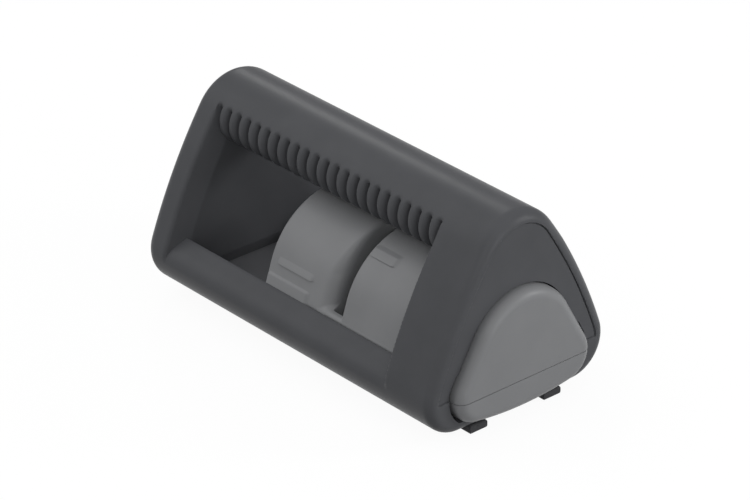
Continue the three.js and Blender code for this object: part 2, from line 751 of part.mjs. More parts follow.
// Materials
const charcoal = { color: 0x5b5c5f, roughness: 0.6, metalness: 0 };
const paleGrey = { color: 0x8b8c8e, roughness: 0.5, metalness: 0 };
const rubber = { color: 0x2e2e30, roughness: 0.85, metalness: 0 };
const steel = { color: 0xb4b6b8, roughness: 0.3, metalness: 1 };
const acetal = { color: 0xd8d8d4, roughness: 0.45, metalness: 0 };
const coarseCeramic = { color: 0x8a7f74, roughness: 0.9, metalness: 0 };
const fineCeramic = { color: 0xe9e6de, roughness: 0.75, metalness: 0 };

function place(group, name, made, look, at = [0, 0, 0]) {
  const data = made.getMesh();
  const geometry = new THREE.BufferGeometry();
  geometry.setAttribute("position", new THREE.BufferAttribute(new Float32Array(data.vertProperties), 3));
  geometry.setIndex(new THREE.BufferAttribute(data.triVerts, 1));
  geometry.computeVertexNormals();
  const mesh = new THREE.Mesh(geometry, new THREE.MeshStandardMaterial(look));
  mesh.name = name;
  mesh.position.set(...at);
  group.add(mesh);
}

// Assembly
const sides = [["front", -1], ["back", 1]];
const ends = ["left", "right"];
const plateScrewLength = plateThickness + screwHold;
const plateScrewHeight = plateBottom - seatGap;

const housing = new THREE.Group();
place(housing, "housing_shell", makeHousing(), charcoal);
place(housing, "right_end_panel", makeRightPanel(), charcoal);
place(housing, "left_end_panel", makePanel(leftEnd, -1), charcoal);
place(housing, "base_plate", makeBasePlate(), charcoal);
ends.forEach((end, i) => {
  const cradleScrewAt = [cradleScrewMiddles[i], 0, plateScrewHeight];
  place(housing, `cradle_screw_${end}`, makeScrew(plateScrewLength), steel, cradleScrewAt);
  for (const [side, sign] of sides) {
    const foot = makeFoot(plugMiddles[i] - footMiddles[i]);
    place(housing, `foot_${side}_${end}`, foot, rubber, [footMiddles[i], sign * footPlace, 0]);
    const screwAt = [bossMiddles[i], sign * bossPlace, plateScrewHeight];
    place(housing, `base_screw_${side}_${end}`, makeScrew(plateScrewLength), steel, screwAt);
  }
});
place(housing, "detent_spring", makeLeaf(), steel);
place(housing, "wheel_cradle", makeCradle(), acetal);

const onAxle = new THREE.Group();
onAxle.position.set(0, 0, axleHeight);
const clipReach = axleOverhang / 2;
const washerReach = wheelHalfWidth + cheekGap / 2;
const washer = tube("x", axleBore, washerRadius, -washerThickness / 2, washerThickness / 2);
const spacerHalf = travel / 2 - wheelHalfWidth - turnGap;
const spacer = tube("x", axleBore, hubRadius, -spacerHalf, spacerHalf);
place(onAxle, "wheel_axle", makeAxle(), steel);
place(onAxle, "axle_clip_left", makeClip(), steel, [cradleLeft - clipReach, 0, 0]);
place(onAxle, "axle_clip_right", makeClip(), steel, [cradleRight + clipReach, 0, 0]);
place(onAxle, "thrust_washer_left", washer, steel, [coarseStation - washerReach, 0, 0]);
place(onAxle, "thrust_washer_right", washer, steel, [fineStation + washerReach, 0, 0]);
place(onAxle, "wheel_spacer", spacer, acetal, [(coarseStation + fineStation) / 2, 0, 0]);

function makeWheel(name, look, station) {
  const wheel = new THREE.Group();
  wheel.position.set(station, 0, axleHeight);
  const hub = tube("x", axleBore, hubRadius, -wheelHalfWidth, wheelHalfWidth);
  place(wheel, `${name}_hub`, hub, acetal);
  place(wheel, `${name}_disc_left`, makeDisc(-1), look);
  place(wheel, `${name}_disc_right`, makeDisc(1), look);
  return wheel;
}

const carriage = new THREE.Group();
const carriageScrewLength = trayFloor - screwHeadHeight + screwHold;
const carriageScrewHeight = trayBottom + screwHeadHeight + fitGap - seatGap;
place(carriage, "carriage_cover", makeCover(), paleGrey);
place(carriage, "carriage_tray", makeTray(), paleGrey);
ends.forEach((end, i) => {
  for (const [side, sign] of sides) {
    const screwAt = [postMiddles[i], sign * postPlace, carriageScrewHeight];
    place(carriage, `carriage_screw_${side}_${end}`, makeScrew(carriageScrewLength), steel, screwAt);
  }
});

const sharpener = new THREE.Group();
sharpener.add(housing, onAxle, carriage);
sharpener.add(makeWheel("coarse", coarseCeramic, coarseStation));
sharpener.add(makeWheel("fine", fineCeramic, fineStation));

export default sharpener;
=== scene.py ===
import functools
import math

import bpy
import numpy as np
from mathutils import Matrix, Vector


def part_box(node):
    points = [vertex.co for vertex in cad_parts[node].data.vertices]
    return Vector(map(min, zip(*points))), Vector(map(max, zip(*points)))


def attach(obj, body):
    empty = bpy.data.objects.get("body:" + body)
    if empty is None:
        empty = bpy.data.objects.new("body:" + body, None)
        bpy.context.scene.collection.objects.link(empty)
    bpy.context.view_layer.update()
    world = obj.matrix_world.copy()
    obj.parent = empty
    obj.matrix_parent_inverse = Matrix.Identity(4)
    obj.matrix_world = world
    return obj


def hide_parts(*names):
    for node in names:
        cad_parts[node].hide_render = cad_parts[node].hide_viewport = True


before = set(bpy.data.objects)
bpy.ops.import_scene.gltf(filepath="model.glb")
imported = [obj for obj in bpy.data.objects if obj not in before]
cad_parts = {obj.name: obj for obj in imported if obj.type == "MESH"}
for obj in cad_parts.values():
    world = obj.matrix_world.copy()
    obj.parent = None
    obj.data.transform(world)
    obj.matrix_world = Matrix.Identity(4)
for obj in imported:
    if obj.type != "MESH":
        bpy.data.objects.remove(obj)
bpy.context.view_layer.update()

MM = 0.001
X, Y, Z = 0, 1, 2


# Sizes in millimetres, in the frame of the solids: X along the grip, Z up from the table

def span(node, axis):
    """First and last place of a solid along an axis."""
    low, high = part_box(node)
    return low[axis] / MM, high[axis] / MM


def middle(node, axis):
    return sum(span(node, axis)) / 2


def polar(centre, radius, angle):
    """The place at a distance from a centre, in a direction in degrees."""
    turn = math.radians(angle)
    return centre[0] + radius * math.cos(turn), centre[1] + radius * math.sin(turn)


def touching(one, two):
    """Direction, in degrees, in which a line touches two circles (y, z, radius) on their outer side."""
    dy, dz = two[0] - one[0], two[1] - one[1]
    return math.degrees(math.atan2(dz, dy) + math.acos((one[2] - two[2]) / math.hypot(dy, dz)))


# Clearances and walls
SEAT_GAP, SEAM_GAP, SLIDE_GAP = 0.1, 0.3, 0.4
WALL, END_WALL, CARRIAGE_WALL = 2.6, 4.0, 2.4
TRAVEL = 12.0

# Housing
LEFT_END, RIGHT_END = span("housing_shell", X)
LEFT_WALL_INSIDE, RIGHT_WALL_INSIDE = LEFT_END + END_WALL, RIGHT_END - END_WALL
WINDOW_LEFT, WINDOW_RIGHT = LEFT_END + 13.7, RIGHT_END - 22.1
FLARE, FLARE_DEPTH = 3.0, 8.0
END_ROUND, RIDGE_END_ROUND, RIDGE_END_Z = 3.4, 4.9, (58, 72)
WINDOW_EDGE, WINDOW_RIGHT_EDGE, EDGE_FADE = 0.9, 0.7, 6
SHOULDER_ANGLE, GRIP_ANGLE = 33.75, 44.0
RIDGE_ROUND, FLANK_ROUND, SKIRT_ROUND, GRIP_ROUND = 18.5, 214.0, 13.6, 9.2
UNDERSIDE_Z = 3.4
RIDGE = (0.0, span("housing_shell", Z)[1] - RIDGE_ROUND, RIDGE_ROUND)
FLANK = (*polar(RIDGE, RIDGE_ROUND - FLANK_ROUND, SHOULDER_ANGLE), FLANK_ROUND)
SKIRT_ANGLE = math.degrees(math.asin((UNDERSIDE_Z + SKIRT_ROUND - FLANK[1]) / (FLANK_ROUND - SKIRT_ROUND)))
SKIRT = (*polar(FLANK, FLANK_ROUND - SKIRT_ROUND, SKIRT_ANGLE), SKIRT_ROUND)
HALF_WIDTH = SKIRT[0] + SKIRT_ROUND
GRIP = (*polar(RIDGE, RIDGE_ROUND - GRIP_ROUND, GRIP_ANGLE), GRIP_ROUND)
GRIP_LEAVE_Z = polar(RIDGE, RIDGE_ROUND, GRIP_ANGLE)[1]
SILL_Y, SILL_Z, SILL_ANGLE, SILL_LIP = HALF_WIDTH - 7.6, 22.9, 30.5, 0.75
SILL_OUTER_ROUND, SILL_INNER_ROUND = 3.2, 0.6
PLATE_TOP, PLATE_HALF = span("base_plate", Z)[0] + 2.0, span("base_plate", Y)[1]
PANEL_RIM, PANEL_LEDGE, PANEL_THICKNESS, PANEL_EDGE, SEAT_EDGE = 4.2, 1.5, 2.2, 0.25, 0.7
PANEL_BOTTOM, PANEL_DROP = span("left_end_panel", Z)[0] - SEAM_GAP, 0.5
WEB = 1.6

# Ribs of the grip
RIB_COUNT, GROOVE_WIDTH, GROOVE_DEPTH = 22, 2.4, 2.8
GROOVE_LEFT = WINDOW_LEFT - FLARE
GROOVE_PITCH = (WINDOW_RIGHT - GROOVE_LEFT - GROOVE_WIDTH) / RIB_COUNT
GROOVE_TOP_Z = RIDGE[1] + RIDGE_ROUND - 6.2
BED_SHARE, LIP_SHARE = 0.15, 0.44
RIB_COLUMNS, RIB_SHARP_ANGLE = 26, 60
GROOVE_END_ARC, ARC_STEPS, RIDGE_STEPS = 30, 34, 14

# Carriage
KNOB_FACE = span("carriage_cover", X)[1]
KNOB_BOTTOM = span("carriage_tray", Z)[0] - 1.1
KNOB_RIM, KNOB_ROUND, KNOB_CORNER_ROUND, KNOB_BOW_DROP = 3.8, 22.0, 10.0, 1.6
KNOB_TOP = (0.0, 48.1 - KNOB_ROUND, KNOB_ROUND)
KNOB_CORNER = (HALF_WIDTH - 9.6 - KNOB_CORNER_ROUND, KNOB_BOTTOM + KNOB_BOW_DROP + KNOB_CORNER_ROUND,
               KNOB_CORNER_ROUND)
KNOB_BOW_ROUND = (KNOB_CORNER[0] ** 2 + (KNOB_BOW_DROP + KNOB_CORNER_ROUND) ** 2
                  - KNOB_CORNER_ROUND ** 2) / (2 * KNOB_BOW_DROP)
KNOB_BOW = (0.0, KNOB_BOTTOM + KNOB_BOW_ROUND, KNOB_BOW_ROUND)
KNOB_FLANK_ANGLE = touching(KNOB_TOP, KNOB_CORNER)
KNOB_BOW_ANGLE = math.degrees(math.atan2(KNOB_CORNER[1] - KNOB_BOW[1], KNOB_CORNER[0]))
KNOB_GAP, RAIL_GAP, NOTCH_Z = 0.45, 1.1, 25.2
CARRIAGE_SEAM, KNOB_SEAM_HALF = 16.1, 0.12
DOME_LEFT, DOME_RIGHT = span("carriage_cover", X)[0], RIGHT_WALL_INSIDE - TRAVEL - 2 * SLIDE_GAP
DOME_SIDE, DOME_EDGE = SILL_Y - 1.4, 1.2
DOME = (0.0, span("carriage_cover", Z)[1] - DOME_SIDE + 1.0, DOME_SIDE - 1.0)
DOME_FLANK_ANGLE = touching(DOME, (DOME_SIDE, SILL_Z, 0.0))
TRAY_LEFT, TRAY_BOTTOM, TRAY_FLOOR, TRAY_HALF = span("carriage_tray", X)[0], 7.8, 3.2, DOME_SIDE - 7.0
NECK_LEFT = DOME_RIGHT + SLIDE_GAP
RAIL_Y, RAIL_TOP = TRAY_HALF - 3.5, span("base_plate", Z)[1]

# Wheels, and the blade slot over them
WHEEL_X = {wheel: middle(f"{wheel}_hub", X) for wheel in ("coarse", "fine")}
AXLE_Z = middle("wheel_axle", Z)
WHEEL_RADIUS = span("coarse_disc_left", Y)[1]
SLOT_X, SLOT_HALF, SLOT_FLOOR = WHEEL_X["coarse"], 2.3, AXLE_Z + WHEEL_RADIUS - 5.5
SLOT_MOUTH_RIGHT, SLOT_MOUTH_DEPTH = SLOT_X + 4.3, 2.4
SLOT_RIM, SLOT_RIM_ROUND, SLOT_CORNER, POCKET_FLOOR = 2.0, 1.1, 2.0, CARRIAGE_SEAM + 1.5
SLOT_CORNER_REACH = (SLOT_X - SLOT_HALF - 6, SLOT_X - SLOT_HALF - 2)
SLOT_LIP_ROUND, SLOT_LIP_LOSS, SLOT_LIP_Z = 5.2, 3.6, (36, 48)
SLOT_RIGHT_EDGE, SLOT_RIGHT_CORNER = 0.35, 0.3
WHEEL_SPACE = (span("wheel_axle", X)[0] - TRAVEL - SLIDE_GAP, span("wheel_axle", X)[1] + SLIDE_GAP)
WHEEL_SPACE_HALF, WHEEL_SPACE_TOP = WHEEL_RADIUS + 4.0, AXLE_Z + WHEEL_RADIUS + 0.8
DISC_BORE, DISC_NARROW, DISC_ROUND, DISC_INNER, DISC_OUTER = 3.7, 5.5, 10.0, 0.15, 4.35
DISC_BEVEL, DISC_CONE_RUN, DISC_CONE_ANGLE, DISC_CONE_TOP = 0.15, 4.5, 20, 9.9

# Raised strips on the dome: first and last place along X, lower and upper edge, height, height of the crest
STRIP_SLOPE, STRIP_ROOT = 1.5, 1.5
STRIPS = (
    (DOME_LEFT + 1.2, DOME_LEFT + 22.0, SILL_Z - 3, SILL_Z + 4, 0.55, SILL_Z + 3.3),
    (DOME_LEFT + 4.4, DOME_LEFT + 22.4, SILL_Z + 7.9, SILL_Z + 10, 0.7, SILL_Z + 7.9),
    (SLOT_MOUTH_RIGHT + 0.6, SLOT_MOUTH_RIGHT + 13.0, 44.6, 47.0, 0.5, 46.6),
)

# Fastenings, detent and rails
ENDS = ("left", "right")
BOSS_X, BOSS_Y = [middle(f"base_screw_back_{end}", X) for end in ENDS], middle("base_screw_back_left", Y)
BOSS_ROUND, BOSS_RIB_HALF, BOSS_RIB_REACH, BOSS_DROP = 2.8, 1.2, 1, 0.8
POST_X = [middle(f"carriage_screw_back_{end}", X) for end in ENDS]
POST_Y = middle("carriage_screw_back_left", Y)
POST_BORE, POST_HEAD, POST_HEAD_DEPTH = 1.4, 2.6, 1.7
DETENT_X = (middle("detent_spring", X), middle("detent_spring", X) - TRAVEL)
DETENT_HALF_LENGTH, DETENT_HALF_WIDTH = 4.4, 3.4
RAIL_HALF, RAIL_FLARE = 1.3, 0.7


# Distance functions. Each takes arrays of places in millimetres, and is negative inside the form.

def convex(y, z, *arcs):
    """A convex outline of touching arcs (y, z, radius, first and last direction), mirrored about y = 0."""
    side = np.abs(y)
    far = None
    for centre_y, centre_z, radius, first, last in arcs:
        dy, dz = side - centre_y, z - centre_z
        ay, az = math.cos(math.radians(first)), math.sin(math.radians(first))
        by, bz = math.cos(math.radians(last)), math.sin(math.radians(last))
        within = (ay * dz - az * dy >= 0) & (dy * bz - dz * by >= 0)
        ends = np.maximum(dy * ay + dz * az, dy * by + dz * bz)
        here = np.where(within, np.hypot(dy, dz), ends) - radius
        far = here if far is None else np.maximum(far, here)
    return far


def tent(y, z):
    return convex(y, z, (*SKIRT, -90, SKIRT_ANGLE), (*FLANK, SKIRT_ANGLE, SHOULDER_ANGLE),
                  (*RIDGE, SHOULDER_ANGLE, 90))


def knob(y, z):
    return convex(y, z, (*KNOB_BOW, -90, KNOB_BOW_ANGLE), (*KNOB_CORNER, KNOB_BOW_ANGLE, KNOB_FLANK_ANGLE),
                  (*KNOB_TOP, KNOB_FLANK_ANGLE, 90))


def dome(y, z):
    return convex(y, z, (DOME_SIDE, SILL_Z, 0.0, 0, DOME_FLANK_ANGLE), (*DOME, DOME_FLANK_ANGLE, 90))


def common(a, b, round_edge=0.0):
    """What two forms share, with the edge between them rounded."""
    over_a, over_b = a + round_edge, b + round_edge
    corner = np.hypot(np.maximum(over_a, 0), np.maximum(over_b, 0))
    return np.minimum(np.maximum(over_a, over_b), 0) + corner - round_edge


def joined(a, b, round_corner=0.0):
    """Two forms together, with the inner corner between them filled round."""
    return -common(-a, -b, round_corner)


def between(t, low, high):
    return np.maximum(low - t, t - high)


def fade(t, low, high):
    """0 up to a first place, 1 from a second one on."""
    return np.clip((t - low) / (high - low), 0, 1)


def all_of(*forms):
    return functools.reduce(np.maximum, forms)


def any_of(*forms):
    return functools.reduce(np.minimum, forms)


def knob_opening(y, z, start, x):
    """The hole for the knob: a thin line round it, wider below the two notches."""
    upper = np.maximum(knob(y, z) - KNOB_GAP, NOTCH_Z - z)
    lower = all_of(knob(y, z) - RAIL_GAP, TRAY_BOTTOM - SLIDE_GAP - z, z - NOTCH_Z)
    return np.maximum(np.minimum(upper, lower), start - x)


def housing_form(x, y, z):
    side = np.abs(y)
    outline = tent(y, z)
    right_round = END_ROUND + (RIDGE_END_ROUND - END_ROUND) * fade(z, *RIDGE_END_Z)
    body = common(outline, between(x, LEFT_END, RIGHT_END), np.where(x > 0, right_round, RIDGE_END_ROUND))
    lip = fade(-z, -GRIP_LEAVE_Z, EDGE_FADE - GRIP_LEAVE_Z)
    lean = FLARE / FLARE_DEPTH
    flared = (x - WINDOW_LEFT + FLARE + lean * outline) / math.hypot(1, lean)
    left = common(body, np.maximum(x - WINDOW_LEFT, flared), WINDOW_EDGE * lip)
    passage = np.maximum(dome(y, z) - 2 * SLIDE_GAP, x - RIGHT_WALL_INSIDE)
    hollow = all_of(outline + WALL, WINDOW_RIGHT + WEB - x, x - RIGHT_WALL_INSIDE)
    right = np.maximum(common(body, WINDOW_RIGHT - x, WINDOW_RIGHT_EDGE * lip), -np.minimum(passage, hollow))
    slope = math.radians(SILL_ANGLE)
    sill = (side - SILL_Y) * math.sin(slope) + (z - SILL_Z) * math.cos(slope)
    trough = np.maximum(side - SILL_Y + SILL_LIP, outline + WALL)
    skirt = np.maximum(common(body, sill, SILL_OUTER_ROUND), common(sill, -trough, SILL_INNER_ROUND))
    form = any_of(left, right, skirt)
    for boss_x in BOSS_X:
        height = between(z, PLATE_TOP + SEAT_GAP, CARRIAGE_SEAM - BOSS_DROP)
        boss = np.maximum(np.hypot(x - boss_x, side - BOSS_Y) - BOSS_ROUND, height)
        rib = np.maximum(np.abs(x - boss_x) - BOSS_RIB_HALF, between(side, BOSS_Y, SILL_Y + BOSS_RIB_REACH))
        rib = np.maximum(rib, height)
        form = any_of(form, boss, rib)
    floor = all_of(side - PLATE_HALF - SEAM_GAP, z - PLATE_TOP - SEAT_GAP,
                   between(x, LEFT_WALL_INSIDE, RIGHT_WALL_INSIDE))
    seat = np.maximum(outline + PANEL_RIM, PANEL_BOTTOM - z)
    depth = PANEL_THICKNESS + SEAT_GAP
    right_seat = np.maximum(seat, RIGHT_END - depth - x)
    left_seat = np.maximum(seat, x - LEFT_END - depth)
    inner_start = RIGHT_WALL_INSIDE - 1
    behind = np.maximum(seat + PANEL_LEDGE, inner_start - x)
    form = common(form, -np.minimum(right_seat, left_seat), SEAT_EDGE)
    cuts = any_of(floor, behind, knob_opening(y, z, inner_start, x))
    return np.maximum(form, -cuts)


def panel_form(x, y, z, low, high):
    edge = np.maximum(tent(y, z) + PANEL_RIM, PANEL_BOTTOM - z) + SEAT_GAP
    return common(edge, between(x, low, high), PANEL_EDGE)


def right_panel_form(x, y, z):
    plate = panel_form(x, y, z, RIGHT_END - PANEL_THICKNESS, RIGHT_END - PANEL_DROP)
    return np.maximum(plate, -knob_opening(y, z, RIGHT_WALL_INSIDE, x))


def left_panel_form(x, y, z):
    return panel_form(x, y, z, LEFT_END + PANEL_DROP, LEFT_END + PANEL_THICKNESS)


def knob_body(x, y, z):
    return common(knob(y, z), between(x, NECK_LEFT - 4 * KNOB_RIM, KNOB_FACE), KNOB_RIM)


def relief(x, z, surface, low_x, high_x, low_z, high_z, proud, crest_z):
    """A raised strip on the dome, highest at a crest and sloping away to its upper edge and its right end."""
    thick = proud * fade(-z, -high_z, -crest_z) * fade(-x, -high_x, STRIP_SLOPE - high_x)
    within = np.maximum(between(x, low_x, high_x), between(z, low_z, high_z))
    return all_of(surface - thick, within, -surface - STRIP_ROOT)


def cover_form(x, y, z):
    surface = dome(y, z)
    block = common(np.maximum(surface, CARRIAGE_SEAM + SEAM_GAP / 2 - z), DOME_LEFT - x, DOME_EDGE)
    block = np.maximum(block, x - DOME_RIGHT)
    left_lip = SLOT_LIP_ROUND - SLOT_LIP_LOSS * fade(z, *SLOT_LIP_Z)
    left = common(block, x - SLOT_X + SLOT_HALF, left_lip)
    flare = (SLOT_MOUTH_RIGHT - SLOT_X - SLOT_HALF) / SLOT_MOUTH_DEPTH
    mouth = (SLOT_MOUTH_RIGHT - x + flare * surface) / math.hypot(1, flare)
    right = common(block, np.maximum(SLOT_X + SLOT_HALF - x, mouth), SLOT_RIGHT_EDGE)
    below = common(block, z - SLOT_FLOOR, SLOT_RIM_ROUND)
    pocket = all_of(np.abs(x - SLOT_X) - SLOT_HALF, surface + SLOT_RIM, POCKET_FLOOR - z)
    corner = SLOT_CORNER * fade(x, *SLOT_CORNER_REACH)
    form = np.maximum(joined(joined(left, below, corner), right, SLOT_RIGHT_CORNER), -pocket)
    form = any_of(form, *[relief(x, z, surface, *strip) for strip in STRIPS])
    form = np.minimum(form, np.maximum(knob_body(x, y, z), CARRIAGE_SEAM + KNOB_SEAM_HALF - z))
    wheels = all_of(between(x, *WHEEL_SPACE), np.abs(y) - WHEEL_SPACE_HALF, z - WHEEL_SPACE_TOP)
    return np.maximum(form, -wheels)


def tray_form(x, y, z):
    side = np.abs(y)
    front = np.maximum(knob_body(x, y, z), z - CARRIAGE_SEAM + KNOB_SEAM_HALF)
    front = np.maximum(front, np.minimum(TRAY_BOTTOM - z, RIGHT_END + SEAM_GAP - x))
    front = np.maximum(front, NECK_LEFT - x)
    box = all_of(between(x, TRAY_LEFT, NECK_LEFT + CARRIAGE_WALL), side - TRAY_HALF,
                 between(z, TRAY_BOTTOM, CARRIAGE_SEAM - SEAM_GAP / 2))
    inside = all_of(between(x, TRAY_LEFT + CARRIAGE_WALL, KNOB_FACE - CARRIAGE_WALL),
                    side - TRAY_HALF + CARRIAGE_WALL, TRAY_BOTTOM + TRAY_FLOOR - z)
    wheels = np.maximum(between(x, *WHEEL_SPACE), side - WHEEL_SPACE_HALF)
    top = RAIL_TOP + SLIDE_GAP
    flare = RAIL_FLARE * fade(z, PLATE_TOP - 1, top)
    rails = all_of(np.abs(side - RAIL_Y) - RAIL_HALF - SLIDE_GAP - flare, z - top, x - RIGHT_WALL_INSIDE)
    cuts = [inside, wheels, rails]
    for detent_x in DETENT_X:
        cuts.append(all_of(np.abs(x - detent_x) - DETENT_HALF_LENGTH, side - DETENT_HALF_WIDTH, z - top))
    for post_x in POST_X:
        hole = np.hypot(x - post_x, side - POST_Y)
        head = np.maximum(hole - POST_HEAD, z - TRAY_BOTTOM - POST_HEAD_DEPTH)
        cuts.append(np.minimum(hole - POST_BORE, head))
    return np.maximum(np.minimum(front, box), -any_of(*cuts))


# Meshes

NUDGE = 2e-3            # Distance in millimetres over which a slope is taken
HALVINGS = 12           # Rounds of the search for the surface along a grid edge
FLAT_SHARE = 0.12       # Below this share of the largest one, a direction holds no edge
CELL_SLACK = 0.02       # Share of a cell by which a corner may leave it
LEAST_SLOPE = 0.25      # Squared slope below which the last move to the surface is held back


def slopes(form, places):
    """How far a form changes over two nudges along each axis."""
    return np.stack([form(*(places + NUDGE * unit).T) - form(*(places - NUDGE * unit).T)
                     for unit in np.eye(3)], 1)


def skin(form, low, high, step):
    """The surface of a form as quads with its edges kept, one corner for each grid cell that it crosses."""
    axes = [np.arange(a, b + step, step) for a, b in zip(low, high)]
    count = [len(a) for a in axes]
    field = form(*np.meshgrid(*axes, indexing="ij", sparse=True))
    field = np.broadcast_to(field, count)
    inside = field < 0
    cells, points, turned = [], [], []
    for k in range(3):
        first = [slice(None)] * 3
        second = [slice(None)] * 3
        first[k], second[k] = slice(0, -1), slice(1, None)
        for other in range(3):
            if other != k:
                first[other] = second[other] = slice(1, -1)
        one, two = inside[tuple(first)], inside[tuple(second)]
        at = np.argwhere(one != two)
        for other in range(3):
            if other != k:
                at[:, other] += 1
        start = np.stack([axes[m][at[:, m]] for m in range(3)], 1)
        a, b = np.zeros(len(at)), np.full(len(at), step)
        sign = np.where(inside[tuple(at.T)], 1.0, -1.0)
        for _ in range(HALVINGS):
            half_way = (a + b) / 2
            place = start.copy()
            place[:, k] += half_way
            negative = form(*place.T) * sign < 0
            a, b = np.where(negative, half_way, a), np.where(negative, b, half_way)
        place = start.copy()
        place[:, k] += (a + b) / 2
        points.append(place)
        m, n = (k + 1) % 3, (k + 2) % 3
        around = []
        for dm, dn in ((1, 1), (0, 1), (0, 0), (1, 0)):
            cell = at.copy()
            cell[:, m] -= dm
            cell[:, n] -= dn
            around.append(np.ravel_multi_index(tuple(cell.T), count))
        cells.append(np.stack(around, 1))
        turned.append(sign < 0)
    points = np.concatenate(points)
    cells = np.concatenate(cells)
    turned = np.concatenate(turned)
    normals = slopes(form, points)
    normals /= np.maximum(np.linalg.norm(normals, axis=1, keepdims=True), 1e-12)
    used, where = np.unique(cells.ravel(), return_inverse=True)
    where = where.reshape(cells.shape)
    total = len(used)
    spread = lambda values: np.bincount(where.ravel(), np.repeat(values, 4), total)
    hits = spread(np.ones(len(points)))
    centre = np.stack([spread(points[:, k]) for k in range(3)], 1) / hits[:, None]
    offset = np.einsum("ij,ij->i", normals, points)
    matrix = np.empty((total, 3, 3))
    target = np.empty((total, 3))
    for i in range(3):
        target[:, i] = spread(normals[:, i] * offset)
        for j in range(3):
            matrix[:, i, j] = spread(normals[:, i] * normals[:, j])
    target -= np.einsum("nij,nj->ni", matrix, centre)
    values, vectors = np.linalg.eigh(matrix)
    keep = values > FLAT_SHARE * values[:, 2:]
    inverse = np.where(keep, 1 / np.maximum(values, 1e-9), 0)
    move = np.einsum("nij,nj,nkj,nk->ni", vectors, inverse, vectors, target)
    corner = np.stack(np.unravel_index(used, count), 1) * step + np.array([a[0] for a in axes])
    place = np.clip(centre + move, corner - CELL_SLACK * step, corner + (1 + CELL_SLACK) * step)
    smooth = keep.sum(1) == 1
    near = place[smooth]
    slope = slopes(form, near) / (2 * NUDGE)
    place[smooth] = near - slope * (form(*near.T) / np.maximum((slope ** 2).sum(1), LEAST_SLOPE))[:, None]
    where[turned] = where[turned][:, ::-1]
    return place, where


def piece_of(name, points, faces, keep_share=1.0, sharp=34):
    """A mesh object from corners in millimetres, thinned to a share of its faces and shaded smooth."""
    mesh = bpy.data.meshes.new(name)
    width = faces.shape[1]
    mesh.vertices.add(len(points))
    mesh.vertices.foreach_set("co", (points * MM).astype(np.float32).ravel())
    mesh.loops.add(faces.size)
    mesh.loops.foreach_set("vertex_index", faces.astype(np.int32).ravel())
    mesh.polygons.add(len(faces))
    mesh.polygons.foreach_set("loop_start", np.arange(0, faces.size, width, dtype=np.int32))
    mesh.update(calc_edges=True)
    mesh.validate()
    piece = bpy.data.objects.new(name, mesh)
    bpy.context.scene.collection.objects.link(piece)
    if keep_share < 1:
        thin = piece.modifiers.new("thin", "DECIMATE")
        thin.ratio = keep_share
        made_plain(piece)
    shade(piece.data, sharp)
    return piece


def shade(mesh, sharp):
    mesh.shade_smooth()
    mesh.set_sharp_from_angle(angle=math.radians(sharp))


def result_mesh(piece):
    """The mesh that a piece and its modifiers make."""
    seen = bpy.context.evaluated_depsgraph_get()
    seen.update()
    return bpy.data.meshes.new_from_object(piece.evaluated_get(seen), depsgraph=seen)


def made_plain(piece):
    """Turns a piece and its modifiers into a plain mesh."""
    mesh = result_mesh(piece)
    piece.modifiers.clear()
    piece.data = mesh


def formed(name, form, low, high, step, most=190000):
    points, faces = skin(form, low, high, step)
    triangles = 2 * len(faces)
    return piece_of(name, points, faces, min(1.0, most / triangles))


def lathed(name, profile, x, steps=96):
    """A closed ring turned about the wheels' axle from a profile of (along X, radius)."""
    profile = np.array(profile)
    turn = np.linspace(0, 2 * math.pi, steps, endpoint=False)
    points = np.stack([
        np.repeat(profile[:, 0] + x, steps),
        np.outer(profile[:, 1], np.cos(turn)).ravel(),
        np.outer(profile[:, 1], np.sin(turn)).ravel() + AXLE_Z,
    ], 1)
    ring = np.arange(steps)
    after = (ring + 1) % steps
    faces = []
    for i in range(len(profile)):
        j = (i + 1) % len(profile)
        faces.append(np.stack([i * steps + ring, i * steps + after, j * steps + after, j * steps + ring], 1))
    return piece_of(name, points, np.concatenate(faces), sharp=30)


# Materials

def linear(code):
    """An sRGB hex colour as the linear colour that a shader takes."""
    parts = [int(code[i:i + 2], 16) / 255 for i in (1, 3, 5)]
    return tuple(c / 12.92 if c <= 0.04045 else ((c + 0.055) / 1.055) ** 2.4 for c in parts) + (1.0,)


def add(tree, kind, inputs=None, **settings):
    """Adds a node with its settings. An input is a value, or the socket of another node."""
    node = tree.nodes.new(kind)
    for name, value in settings.items():
        setattr(node, name, value)
    for name, value in (inputs or {}).items():
        if isinstance(value, bpy.types.NodeSocket):
            tree.links.new(value, node.inputs[name])
        else:
            node.inputs[name].default_value = value
    return node


def grain(size_mm):
    """Scale of a noise texture on Object coordinates whose marks are about this wide."""
    return 1 / (size_mm * MM)


